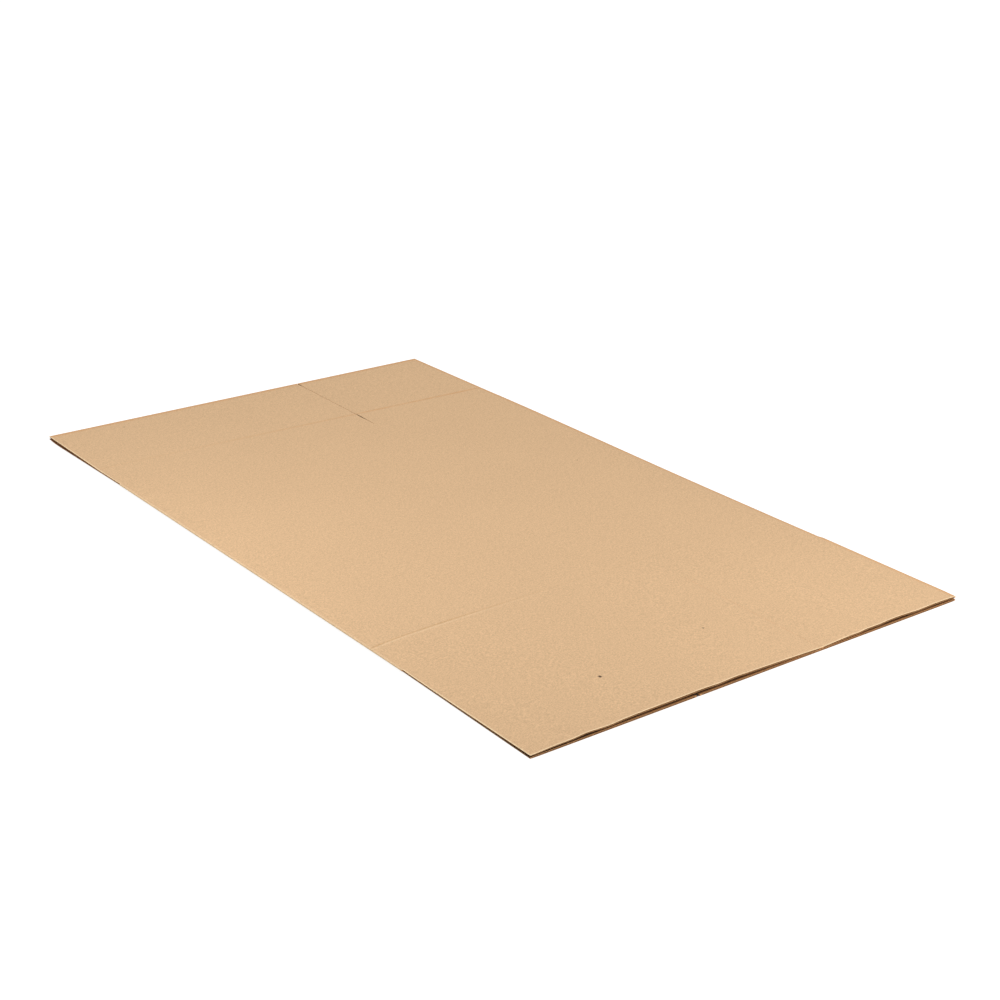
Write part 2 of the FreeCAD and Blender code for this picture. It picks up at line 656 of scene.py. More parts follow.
    def top(self, x: float, y: float) -> float:
        """Gives the height of the upper face, without its pressed lines.

        Args:
            x: place across the carton.
            y: place along the carton.

        Returns:
            The height, which changes slope at the two creases.
        """
        lie = self.lie
        sag = math.exp(-(self.half_width - abs(x)) / lie.shoulder)
        middle = mix(lie.body_top, self.side(x).top(y, self.body), sag)
        near_line, far_line = self.near_crease.line(x), self.far_crease.line(x)
        near = ramp(near_line - y, 0, self.half_length + near_line)
        far = ramp(y - far_line, 0, self.half_length - far_line)
        depth = self.half_length + y
        far_top = lie.far_top - lie.far_fall * (x / self.half_width + 1) / 2
        height = near * self.near_top(x, depth) + far * far_top + (1 - near - far) * middle
        away = math.hypot(self.half_width - x, depth)
        return height - lie.droop * hump(away, lie.droop_reach)

    def thinness(self, x: float) -> float:
        """Gives the board's thickness at the place x as a share of the full one."""
        inward = self.half_width - abs(x)
        return 1 - self.side(x).crush * hump(inward, self.lie.crush_width)

    def lower_base(self, x: float, y: float) -> float:
        """Gives the height of the lower board's lower face.

        Args:
            x: place across the carton.
            y: place along the carton.

        Returns:
            The height, which is nothing away from the folds and the far left corner.
        """
        curl = math.exp(-(self.half_width - abs(x)) / self.lie.curl)
        away = math.hypot(x + self.half_width, y - self.half_length)
        tuck = self.lie.tuck * hump(away, self.lie.tuck_reach)
        return self.side(x).underside(y, self.body, self.half_length) * curl + tuck

    def upper_base(self, x: float, y: float) -> float:
        """Gives the height of the upper board's lower face.

        Args:
            x: place across the carton.
            y: place along the carton.

        Returns:
            The height, which is always above the lower board.
        """
        thickness = self.board.thickness * self.thinness(x)
        lowest = self.lower_base(x, y) + thickness + self.lie.least_gap
        pinched = self.board.thickness * self.pinch(x, y)
        return max(lowest, self.top(x, y) - thickness + pinched)

    def pinch(self, x: float, y: float) -> float:
        """Gives the share of the upper board that is pressed away at the near left corner.

        Args:
            x: place across the carton.
            y: place along the carton.

        Returns:
            The share of its thickness.
        """
        inward = soft(ramp(x + self.half_width, 0, self.lie.pinch_width))
        depth = soft(ramp(y + self.half_length, 0, self.lie.pinch_depth))
        return self.lie.pinch * (1 - inward) * (1 - depth)

    def upper_thinness(self, x: float, y: float) -> float:
        """Gives the upper board's share of its full thickness, with the pressed lines."""
        pressed = sum(crease.relief(x, y) for crease in self.creases)
        return self.thinness(x) - self.pinch(x, y) + pressed / self.board.thickness

    def slit(self, y: float) -> float:
        """Gives half the width of the slot in the upper board.

        Args:
            y: place along the carton.

        Returns:
            Half the width.
        """
        if y < 0:
            return self.near_slit / 2
        gape = hump(y - self.far_slit_place, self.far_slit_length)
        mouth = hump(y - self.half_length + self.board.mouth, self.far_slit_mouth)
        return mix(self.far_slit, self.far_slit_wide, max(gape, mouth)) / 2

    def lean(self, x: float, y: float) -> float:
        """Gives how far the far flaps have swung to the right at a place.

        Args:
            x: place across the carton.
            y: place along the carton.

        Returns:
            The distance, which is greatest beside the slot and nothing at the sides.
        """
        side = -self.edge if x < self.score else self.edge
        share = (x - side) / (self.score - side)
        shift = self.slot_shift * soft(ramp(y, self.body - self.slot_ease, self.body))
        return (self.slot_lean * max(0.0, y - self.body) - shift) * share

    def panel_columns(self, start: float, end: float) -> list[Column]:
        """Fills a panel with flutes, with a strip of plain board and a cut edge at both sides.

        Args:
            start: left side of the panel.
            end: right side of the panel.

        Returns:
            The columns from left to right.
        """
        board = self.board
        count = int((end - start - 2 * board.margin) // board.pitch)
        first = (start + end - count * board.pitch) / 2
        last = first + count * board.pitch
        columns = [Column(start, start + board.recess, Strip.EDGE)]
        columns += [Column(start + board.recess, first)]
        for i in range(count):
            left = first + i * board.pitch
            columns += [Column(left, left + board.pitch, Strip.FLUTE)]
        columns += [Column(last, end - board.recess)]
        return columns + [Column(end - board.recess, end, Strip.EDGE)]

    def upper_columns(self) -> list[Column]:
        """Makes the upper board's columns: wide panel, slot, narrow panel.

        Returns:
            The columns from left to right.
        """
        left, right = self.score - self.slit_column, self.score + self.slit_column
        columns = self.panel_columns(-self.edge, left) + [Column(left, right)]
        return columns + self.panel_columns(right, self.edge)

    def lower_columns(self) -> list[Column]:
        """Makes the lower board's columns: narrow panel, slot with the seam, wide panel.

        Returns:
            The columns from left to right.
        """
        left, right = self.joint - self.half_slot, self.joint + self.half_slot
        sides = [left, self.joint, self.joint + self.seam, right]
        columns = self.panel_columns(-self.edge, left)
        columns += [Column(a, b) for a, b in zip(sides, sides[1:])]
        return columns + self.panel_columns(right, self.edge)

    def flap_block(self, column: Column, slot: float, half_slot: float) -> Block:
        """Says what fills a cell of the flaps, or of the slot between them."""
        board = Block.OPEN_EDGE if column.strip is Strip.EDGE else Block.BOARD
        return Block.GONE if abs(column.middle() - slot) < half_slot else board

    def upper_block(self, column: Column, y: float) -> Block:
        """Says what fills a cell of the upper board, whose middle is at the place y."""
        flap = abs(y) > self.body
        return self.flap_block(column, self.score, self.slit_column) if flap else Block.BOARD

    def lower_block(self, column: Column, y: float) -> Block:
        """Says what fills a cell of the lower board.

        Args:
            column: the cell's column.
            y: the middle of the cell along the carton.

        Returns:
            What fills it.
        """
        if abs(y) > self.body:
            return self.flap_block(column, self.joint, self.half_slot)
        middle = column.middle()
        tabbed = self.joint - self.half_slot < middle < self.joint + self.tab_width
        tabbed = tabbed and abs(y) < self.body - self.tab_setback
        if self.joint < middle < self.joint + self.seam:
            return Block.TAB_OVER_SEAM if tabbed else Block.GONE
        return Block.BOARD_AND_TAB if tabbed else Block.BOARD

    def build(self) -> Shell:
        """Makes both boards and both folds.

        Returns:
            The shell that holds all the faces.
        """
        upper = Sheet(self, self.upper_columns(), True)
        lower = Sheet(self, self.lower_columns(), False)
        for sheet in (upper, lower):
            sheet.build()
        for side in (-1, 1):
            self.build_fold(side, upper, lower)
        return self.shell

    def build_fold(self, side: int, upper: Sheet, lower: Sheet) -> None:
        """Joins the two boards round one folded edge of the body.

        Args:
            side: -1 for the left fold and 1 for the right one.
            upper: the upper board.
            lower: the lower board.
        """
        x = side * self.edge
        places = [row.at(x) for row in self.rows if abs(row.nominal()) <= self.body + NEARLY]
        outer, inner = [], []
        for y in places:
            low, high = lower.height(x, y, 0), upper.height(x, y, 3)
            outer.append(self.arc(x, y, side * self.fold_reach, low, high))
            low, high = lower.height(x, y, 3), upper.height(x, y, 0)
            inner.append(self.arc(x, y, side * self.fold_slack, low, high))
        for bend, paper in ((outer, Paper.LINER), (inner, Paper.INSIDE)):
            for before, after in zip(bend, bend[1:]):
                for i in range(self.fold_steps):
                    corners = [before[i], before[i + 1], after[i + 1], after[i]]
                    self.shell.face(corners, paper)
        for k in (0, -1):
            under = [lower.inside(x, places[k], height) for height in lower.layers[1:3]]
            over = [upper.inside(x, places[k], height) for height in upper.layers[1:3]]
            self.cap_fold(outer[k], inner[k], under, over)

    def cap_fold(self, outer: list[int], inner: list[int], under: list[int],
                 over: list[int]) -> None:
        """Closes one end of a fold, between its outer and inner rounds.

        Args:
            outer: the corners of the outer round, from its low side up.
            inner: the corners of the inner round.
            under: the corners between them on the lower board's side, from the ground up.
            over: the same on the upper board's side.
        """
        last = self.fold_steps - 1
        for i in range(self.fold_steps):
            start = under if i == 0 else []
            end = over if i == last else []
            corners = [outer[i], *start, inner[i], inner[i + 1], *end, outer[i + 1]]
            self.shell.face(corners, Paper.CUT)

    def arc(self, x: float, y: float, reach: float, low: float, high: float) -> list[int]:
        """Makes the corners of a round edge, from its low side to its high side.

        Args:
            x: where the round starts.
            y: place along the carton.
            reach: how far it stands out, with its sign.
            low: height of its low side.
            high: height of its high side.

        Returns:
            The corners' numbers.
        """
        corners = []
        for i in range(self.fold_steps + 1):
            turn = math.pi * i / self.fold_steps
            out = reach * abs(math.sin(turn)) ** self.fold_power
            up = (low + high) / 2 - (high - low) / 2 * math.cos(turn)
            corners.append(self.shell.corner(x + out, y, up))
        return corners


class Sheet:
    """One of the two boards, as a grid of cells between columns and rows."""

    def __init__(self, carton: Carton, columns: list[Column], upper: bool) -> None:
        """Takes the grid.

        Args:
            carton: the carton that the board belongs to.
            columns: its columns from left to right.
            upper: True for the upper board.
        """
        self.carton = carton
        self.columns = columns
        self.upper = upper
        self.shell = carton.shell
        self.rows = carton.rows
        self.layers = carton.board.layer_heights()
        self.steps = carton.board.flute_steps()

    def above(self, x: float, y: float, height: float) -> float:
        """Gives where a point of the board lies.

        Args:
            x: place across the carton.
            y: place along the carton.
            height: of the point above the lower face of a board of full thickness.

        Returns:
            The height above the ground.
        """
        carton = self.carton
        if self.upper:
            return carton.upper_base(x, y) + height * carton.upper_thinness(x, y)
        return carton.lower_base(x, y) + height * carton.thinness(x)

    def height(self, x: float, y: float, level: int) -> float:
        """Gives the height of the lower face of a layer."""
        return self.above(x, y, self.layers[level])

    def across(self, x: float, y: float) -> float:
        """Gives the real place of a column's side, which the slot's shape moves.

        Args:
            x: the column's side.
            y: place along the carton.

        Returns:
            The place across the carton.
        """
        carton = self.carton
        if not self.upper:
            return x
        away = x - carton.score
        if abs(abs(away) - carton.slit_column) < NEARLY:
            x = carton.score + math.copysign(carton.slit(y), away)
        return x + carton.lean(x, y)

    def corner(self, x: float, row: Row, level: int) -> int:
        """Gives the corner of the grid at a column's side, a row and a layer's lower face."""
        return self.inside(x, row.at(x), self.layers[level])

    def middle(self, j: int) -> float:
        """Gives the middle between rows j and j + 1."""
        return (self.rows[j].nominal() + self.rows[j + 1].nominal()) / 2

    def inside(self, x: float, y: float, height: float) -> int:
        """Gives the corner at a column's side, a place along it and a height in the board."""
        real = self.across(x, y)
        return self.shell.corner(real, y, self.above(real, y, height))

    def block(self, i: int, j: int) -> Block:
        """Says what fills a cell.

        Args:
            i: the cell's column.
            j: the row that it starts at.

        Returns:
            What fills it, which is nothing off the grid.
        """
        if not (0 <= i < len(self.columns) and 0 <= j < len(self.rows) - 1):
            return Block.GONE
        fills = self.carton.upper_block if self.upper else self.carton.lower_block
        return fills(self.columns[i], self.middle(j))

    def build(self) -> None:
        """Makes all the faces of the board."""
        for j in range(len(self.rows) - 1):
            for i in range(len(self.columns)):
                self.build_cell(i, j)
        for i, column in enumerate(self.columns):
            if column.strip is Strip.FLUTE:
                for end in End:
                    self.build_flute(i, end)

    def build_cell(self, i: int, j: int) -> None:
        """Makes a cell's faces: above and below its layers, and where nothing adjoins them.

        Args:
            i: the cell's column.
            j: the row that it starts at.
        """
        column = self.columns[i]
        layers = self.block(i, j).value
        for layer in layers:
            if layer - 1 not in layers:
                self.build_flat(i, j, layer)
            if layer + 1 not in layers:
                self.build_flat(i, j, layer + 1)
            if layer not in self.block(i, j - 1).value:
                self.build_end_wall(i, j, layer)
            if layer not in self.block(i, j + 1).value:
                self.build_end_wall(i, j + 1, layer)
            if layer not in self.block(i - 1, j).value:
                self.build_side_wall(column.start, j, layer)
            if layer not in self.block(i + 1, j).value:
                self.build_side_wall(column.end, j, layer)

    def build_flat(self, i: int, j: int, level: int) -> None:
        """Makes a flat face of a cell, outside or inside the carton or in an open edge.

        Args:
            i: the cell's column.
            j: the row that it starts at.
            level: the layer whose lower face it is.
        """
        hollow = self.block(i, j) is Block.OPEN_EDGE and level in (1, 2)
        inside = level == 0 if self.upper else level >= 3
        paper = Paper.INSIDE if hollow or inside else Paper.LINER
        near = self.edge_corners(i, j, level)
        far = self.edge_corners(i, j + 1, level)
        self.shell.face(near + far[::-1], paper)

    def at_cut_end(self, j: int) -> bool:
        """Says whether a row is one of the two cut ends."""
        return j in (0, len(self.rows) - 1)

    def edge_corners(self, i: int, j: int, level: int) -> list[int]:
        """Gives the corners of a cell along a row, with the flute's steps at a cut end.

        Args:
            i: the cell's column.
            j: the row.
            level: the layer whose lower face they are on.

        Returns:
            The corners' numbers from left to right.
        """
        column, row = self.columns[i], self.rows[j]
        if column.strip is not Strip.FLUTE or not self.at_cut_end(j):
            return [self.corner(x, row, level) for x in (column.start, column.end)]
        return [self.corner(column.start + step[0], row, level) for step in self.steps]

    def build_end_wall(self, i: int, j: int, layer: int) -> None:
        """Makes the wall of a layer along a row, but not where a flute opens.

        Args:
            i: the cell's column.
            j: the row.
            layer: the layer that ends there.
        """
        column, row = self.columns[i], self.rows[j]
        if column.strip is Strip.FLUTE and self.at_cut_end(j):
            return
        sides = []
        for x, beside in ((column.start, i - 1), (column.end, i + 1)):
            corners = [self.corner(x, row, layer), self.corner(x, row, layer + 1)]
            if layer == 1 and self.at_cut_end(j) and self.holds_flute(beside):
                board = self.carton.board
                corners.insert(1, self.inside(x, row.at(x), board.liner + board.medium))
            sides.append(corners)
        self.shell.face(sides[0] + sides[1][::-1], Paper.CUT)

    def holds_flute(self, i: int) -> bool:
        """Says whether there is a column i and it holds a flute."""
        return 0 <= i < len(self.columns) and self.columns[i].strip is Strip.FLUTE

    def build_side_wall(self, x: float, j: int, layer: int) -> None:
        """Makes the wall of a layer along the flutes, but not where the fold goes on.

        Args:
            x: the column's side.
            j: the row that the cell starts at.
            layer: the layer that ends there.
        """
        rows = (self.rows[j], self.rows[j + 1])
        if abs(x) > self.carton.edge - NEARLY and abs(self.middle(j)) < self.carton.body:
            return
        low = [self.corner(x, row, layer) for row in rows]
        high = [self.corner(x, row, layer + 1) for row in rows]
        paper = Paper.INSIDE if layer in (1, 4) else Paper.CUT
        self.shell.face(low + high[::-1], paper)

    def build_flute(self, i: int, end: End) -> None:
        """Makes one open flute at a cut end: the papers' cut edges and the hollows beside them.

        Args:
            i: the flute's column.
            end: the end that it opens to.
        """
        carton, column = self.carton, self.columns[i]
        board = carton.board
        ceiling = board.thickness - board.liner
        depths = (carton.half_length, carton.half_length - board.open_depth)
        mouth, back = [
            [
                [self.inside(column.start + place, end.value * depth, height)
                 for height in (0.0, board.liner, under, over, ceiling, board.thickness)]
                for place, under, over in self.steps
            ]
            for depth in depths
        ]
        for k in range(len(self.steps) - 1):
            here, there = mouth[k], mouth[k + 1]
            for low in (0, 2, 4):
                paper_edge = [here[low], there[low], there[low + 1], here[low + 1]]
                self.shell.face(paper_edge, Paper.CUT)
            for low in (1, 3):
                if here[low] == here[low + 1] and there[low] == there[low + 1]:
                    continue
                for n in (low, low + 1):
                    along = [here[n], there[n], back[k + 1][n], back[k][n]]
                    self.shell.face(along, Paper.FLUTING)
                deep = [back[k][low], back[k + 1][low], back[k + 1][low + 1], back[k][low + 1]]
                self.shell.face(deep, Paper.FLUTING)
        for beside, k in ((i - 1, 0), (i + 1, -1)):
            if not self.holds_flute(beside):
                wall = [mouth[k][3], mouth[k][4], back[k][4], back[k][3]]
                self.shell.face(wall, Paper.FLUTING)


class NodeKit:
    """Short ways to add and join nodes in one node tree."""

    def __init__(self, tree: NodeTree) -> None:
        """Takes the tree that the nodes go into."""
        self.tree = tree

    def feed(self, node: Node, values: Feeds) -> None:
        """Joins sockets to a node's inputs, or sets plain values there.

        Args:
            node: the node.
            values: what goes into each input, by its name or number.
        """
        for name, value in values.items():
            if isinstance(value, NodeSocket):
                self.tree.links.new(value, node.inputs[name])
            else:
                node.inputs[name].default_value = value

    def add(self, kind: str, values: Feeds, **settings: object) -> Node:
        """Adds a node.

        Args:
            kind: the node's type name.
            values: what goes into its inputs.
            settings: its properties by name.

        Returns:
            The new node.
        """
        node = self.tree.nodes.new(kind)
        for name, setting in settings.items():
            setattr(node, name, setting)
        self.feed(node, values)
        return node

    def math(self, operation: str, *inputs: object) -> NodeSocket:
        """Adds a math node for sockets or numbers, and gives its output."""
        return self.add("ShaderNodeMath", dict(enumerate(inputs)), operation=operation).outputs[0]

    def plus(self, first: object, second: object) -> NodeSocket:
        """Adds two sockets or numbers."""
        return self.math("ADD", first, second)

    def less(self, first: object, second: object) -> NodeSocket:
        """Takes the second socket or number from the first."""
        return self.math("SUBTRACT", first, second)

    def times(self, first: object, second: object) -> NodeSocket:
        """Multiplies two sockets or numbers."""
        return self.math("MULTIPLY", first, second)

    def most(self, first: object, second: object) -> NodeSocket:
        """Gives the greater of two sockets or numbers."""
        return self.math("MAXIMUM", first, second)

    def span(self, value: object, low: object, high: object) -> NodeSocket:
        """Adds a smooth step from 0 at low to 1 at high."""
        values = {"Value": value, "From Min": low, "From Max": high}
        return self.add("ShaderNodeMapRange", values, interpolation_type="SMOOTHSTEP").outputs[0]

    def fall(self, value: object, low: object, high: object) -> NodeSocket:
        """Adds a smooth step from 1 at low down to 0 at high."""
        return self.less(1.0, self.span(value, low, high))

    def window(self, value: NodeSocket, low: float, high: float, before: float,
               after: float) -> NodeSocket:
        """Gives 1 between low and high, with soft steps of these widths before and after."""
        begun = self.span(value, low - before, low)
        return self.times(begun, self.fall(value, high, high + after))

    def noise(self, vector: NodeSocket, scale: object, detail: float) -> NodeSocket:
        """Adds a noise texture and gives its value."""
        values = {"Vector": vector, "Scale": scale, "Detail": detail}
        return self.add("ShaderNodeTexNoise", values).outputs["Fac"]

    def tint(self, share: object, first: Colour, second: Colour) -> NodeSocket:
        """Mixes two colours.

        Args:
            share: the share of the second one.
            first: the first colour.
            second: the second colour.

        Returns:
            The mixed colour.
        """
        ends = [(*end, 1.0) if isinstance(end, tuple) else end for end in (first, second)]

        # The node has other inputs of the same names, so its inputs go by number
        values = {0: share, 6: ends[0], 7: ends[1]}
        return self.add("ShaderNodeMix", values, data_type="RGBA").outputs[2]

    def place(self) -> NodeSocket:
        """Gives the place on the piece."""
        return self.add("ShaderNodeTexCoord", {}).outputs["Object"]

    def across_along(self) -> tuple[NodeSocket, NodeSocket]:
        """Gives the places across and along the carton."""
        parts = self.add("ShaderNodeSeparateXYZ", {0: self.place()})
        return parts.outputs["X"], parts.outputs["Y"]


class GroupKit(NodeKit):
    """A node group with number sockets, while it is made."""

    def __init__(self, name: str, inputs: tuple[str, ...], outputs: tuple[str, ...]) -> None:
        """Makes the group and its sockets.

        Args:
            name: the group's name.
            inputs: the inputs' names.
            outputs: the outputs' names.
        """
        super().__init__(bpy.data.node_groups.new(name, "ShaderNodeTree"))
        new_socket = self.tree.interface.new_socket
        for way, titles in (("INPUT", inputs), ("OUTPUT", outputs)):
            for title in titles:
                new_socket(name=title, in_out=way, socket_type="NodeSocketFloat")
        self.given = self.add("NodeGroupInput", {}).outputs
        self.sink = self.add("NodeGroupOutput", {})

    def close(self, results: Feeds) -> NodeTree:
        """Joins the results to the group's outputs, and gives the group."""
        self.feed(self.sink, results)
        return self.tree


@dataclass(frozen=True)
class ShaderEffects:
    """The effects that the papers share, each as one node group.

    Args:
        fibre: gives the fibres' shade, around 1, and their height.
        pressed_line: gives 1 on a line and 0 away from it.
        speck: gives 1 in a speck and 0 away from it.
    """

    fibre: NodeTree
    pressed_line: NodeTree
    speck: NodeTree


@dataclass(frozen=True)
class PaperPattern:
    """The patterns in the papers.

    A noise is given as its scale, in steps a metre, and its detail.

    Args:
        grain_detail: detail of the fine grain, whose scale is each paper's own.
        form: noise of the uneven pulp.
        cloud: noise of the wide clouds.
        fleck_scale: scale of the cells that may hold a fleck.
        fleck: where a fleck fades, from the middle of its cell.
        patch: noise of the patches that have flecks.
        patch_edge: the noise's values at the edge of a patch.
        gap: noise of the gaps in a pressed line.
        gap_edge: the noise's values at the edge of a gap.
        gap_loss: how much of the line is lost in a gap.
        wobble: noise of a speck's ragged outline.
        speck_rim: where a speck has faded, as a share of its radius.
    """

    grain_detail: float = 3.0
    form: tuple[float, float] = (170.0, 4.0)
    cloud: tuple[float, float] = (4.0, 3.0)
    fleck_scale: float = 210.0
    fleck: tuple[float, float] = (0.05, 0.16)
    patch: tuple[float, float] = (60.0, 1.0)
    patch_edge: tuple[float, float] = (0.56, 0.66)
    gap: tuple[float, float] = (35.0, 3.0)
    gap_edge: tuple[float, float] = (0.35, 0.65)
    gap_loss: float = 0.4
    wobble: tuple[float, float] = (500.0, 2.0)
    speck_rim: float = 1.5

    def effects(self) -> ShaderEffects:
        """Makes the node groups once."""
        return ShaderEffects(self.make_fibre(), self.make_pressed_line(), self.make_speck())

    def make_fibre(self) -> NodeTree:
        """Makes the paper's fibres: fine grain, uneven pulp, wide clouds and dark flecks.

        Returns:
            The group.
        """
        inputs = ("Grain", "Form", "Cloud", "Fleck", "Grain Scale")
        kit = GroupKit("paper_fibre", inputs, ("Shade", "Height"))
        place = kit.place()
        fine = kit.noise(place, kit.given["Grain Scale"], self.grain_detail)
        formed = kit.noise(place, *self.form)
        wide = kit.noise(place, *self.cloud)
        shade: object = 1.0
        for value, amount in ((fine, "Grain"), (formed, "Form"), (wide, "Cloud")):
            shade = kit.plus(shade, kit.times(kit.less(value, 0.5), kit.given[amount]))
        cells = kit.add("ShaderNodeTexVoronoi", {"Vector": place, "Scale": self.fleck_scale})
        near = kit.fall(cells.outputs["Distance"], *self.fleck)
        rare = kit.span(kit.noise(place, *self.patch), *self.patch_edge)
        dark = kit.times(kit.times(near, rare), kit.given["Fleck"])
        return kit.close({"Shade": kit.less(shade, dark), "Height": kit.plus(fine, formed)})

    def make_pressed_line(self) -> NodeTree:
        """Makes a line mask with soft sides and gaps.

        Returns:
            The group.
        """
        kit = GroupKit("pressed_line", ("Distance", "Half Width"), ("Mask",))
        away = kit.math("ABSOLUTE", kit.given["Distance"])
        inside = kit.fall(away, 0.0, kit.given["Half Width"])
        whole = kit.span(kit.noise(kit.place(), *self.gap), *self.gap_edge)
        loss = kit.times(kit.less(1.0, whole), self.gap_loss)
        return kit.close({"Mask": kit.times(inside, kit.less(1.0, loss))})

    def make_speck(self) -> NodeTree:
        """Makes one small dark speck with a ragged outline.

        Returns:
            The group.
        """
        kit = GroupKit("speck", ("Across", "Along", "Radius"), ("Mask",))
        x, y = kit.across_along()
        across = kit.math("POWER", kit.less(x, kit.given["Across"]), 2.0)
        along = kit.math("POWER", kit.less(y, kit.given["Along"]), 2.0)
        radius = kit.given["Radius"]
        wobble = kit.times(kit.noise(kit.place(), *self.wobble), radius)
        away = kit.plus(kit.math("SQRT", kit.plus(across, along)), wobble)
        return kit.close({"Mask": kit.fall(away, radius, kit.times(radius, self.speck_rim))})


def new_material(name: str, roughness: float, specular: float) -> tuple[Material, NodeKit, Node]:
    """Makes a material with one shader.

    Args:
        name: the material's name.
        roughness: of the surface.
        specular: strength of its gloss.

    Returns:
        The material, its node helper and its shader.
    """
    material = bpy.data.materials.new(name)
    material.use_nodes = True
    kit = NodeKit(material.node_tree)
    shader = material.node_tree.nodes["Principled BSDF"]
    kit.feed(shader, {"Roughness": roughness, "Specular IOR Level": specular})
    return material, kit, shader


@dataclass(frozen=True)
class PaperLook:
    """How strongly a paper's fibres show, and how it shines.

    Args:
        tone: the paper's colour.
        grain: strength of the fine grain.
        form: strength of the uneven pulp.
        cloud: strength of the wide clouds.
        fleck: strength of the dark flecks.
        grain_scale: grains in a metre.
        bump: strength of the grain's relief.
        bump_depth: its depth.
        roughness: of the paper.
        specular: strength of its gloss.
    """

    tone: Tone
    grain: float = 0.74
    form: float = 0.20
    cloud: float = 0.05
    fleck: float = 0.10
    grain_scale: float = 400.0
    bump: float = 0.25
    bump_depth: float = 0.15 * MM
    roughness: float = 0.85
    specular: float = 0.12

    def start(self, name: str, effects: ShaderEffects) -> PaperNodes:
        """Makes a material with the fibres in it, before its colour is joined.

        Args:
            name: the material's name.
            effects: the shared node groups.

        Returns:
            The material with the nodes that the finish goes on from.
        """
        material, kit, shader = new_material(name, self.roughness, self.specular)
        values = {
            "Grain": self.grain, "Form": self.form, "Cloud": self.cloud,
            "Fleck": self.fleck, "Grain Scale": self.grain_scale,
        }
        fibre = kit.add("ShaderNodeGroup", values, node_tree=effects.fibre)
        bump = kit.add("ShaderNodeBump", {"Strength": self.bump, "Distance": self.bump_depth})
        kit.feed(shader, {"Normal": bump.outputs["Normal"]})
        return PaperNodes(material, kit, shader, fibre, bump)


@dataclass(frozen=True)
class PaperNodes:
    """A paper's material and the nodes in it that the finishes join up."""

    material: Material
    kit: NodeKit
    shader: Node
    fibre: Node
    bump: Node

    def height(self) -> NodeSocket:
        """Gives the fibres' own height."""
        return self.fibre.outputs["Height"]

    def finish(self, tone: Colour, height: NodeSocket) -> Material:
        """Joins the colour, shaded by the fibres, and the fine height.

        Args:
            tone: the colour without fibres.
            height: the fine height.

        Returns:
            The finished material.
        """
        values = {0: tone, "Scale": self.fibre.outputs["Shade"]}
        shaded = self.kit.add("ShaderNodeVectorMath", values, operation="SCALE")
        self.kit.feed(self.shader, {"Base Color": shaded.outputs[0]})
        self.kit.feed(self.bump, {"Height": height})
        return self.material


@dataclass(frozen=True)
class CreaseNodes:
    """A crease in a material.

    Args:
        away: the distance from its line.
        strength: its strength there.
    """

    away: NodeSocket
    strength: NodeSocket

    @classmethod
    def make(cls, kit: NodeKit, crease: Crease, x: NodeSocket, y: NodeSocket) -> CreaseNodes:
        """Makes the nodes, which give what Crease.line and Crease.strength give.

        Args:
            kit: the material's node helper.
            crease: the crease.
            x: the place across the carton.
            y: the place along the carton.

        Returns:
            The distance and the strength.
        """
        straight = kit.plus(kit.times(x, crease.slant), crease.place)
        run = kit.math("DIVIDE", kit.less(crease.hook_from, x), crease.hook_length)
        bend = kit.times(kit.math("EXPONENT", run), crease.hook)
        whole = kit.window(x, crease.start, crease.end, crease.fade, crease.fade)
        strength = kit.plus(kit.times(whole, 1 - crease.rest), crease.rest)
        return cls(kit.less(y, kit.plus(straight, bend)), strength)

    def band(self, kit: NodeKit, effects: ShaderEffects, half_width: float) -> NodeSocket:
        """Gives the mask of a coloured band along the line.

        Args:
            kit: the material's node helper.
            effects: the shared node groups.
            half_width: half the width of the band.

        Returns:
            The mask.
        """
        values = {"Distance": self.away, "Half Width": half_width}
        band = kit.add("ShaderNodeGroup", values, node_tree=effects.pressed_line)
        return kit.times(band.outputs["Mask"], self.strength)


@dataclass(frozen=True)
class Speck:
    """A dark speck in the paper: its place across and along the carton, and its radius."""

    across: float
    along: float
    radius: float

    def mask(self, kit: NodeKit, effects: ShaderEffects) -> NodeSocket:
        """Gives the speck's mask."""
        values = {"Across": self.across, "Along": self.along, "Radius": self.radius}
        return kit.add("ShaderNodeGroup", values, node_tree=effects.speck).outputs["Mask"]


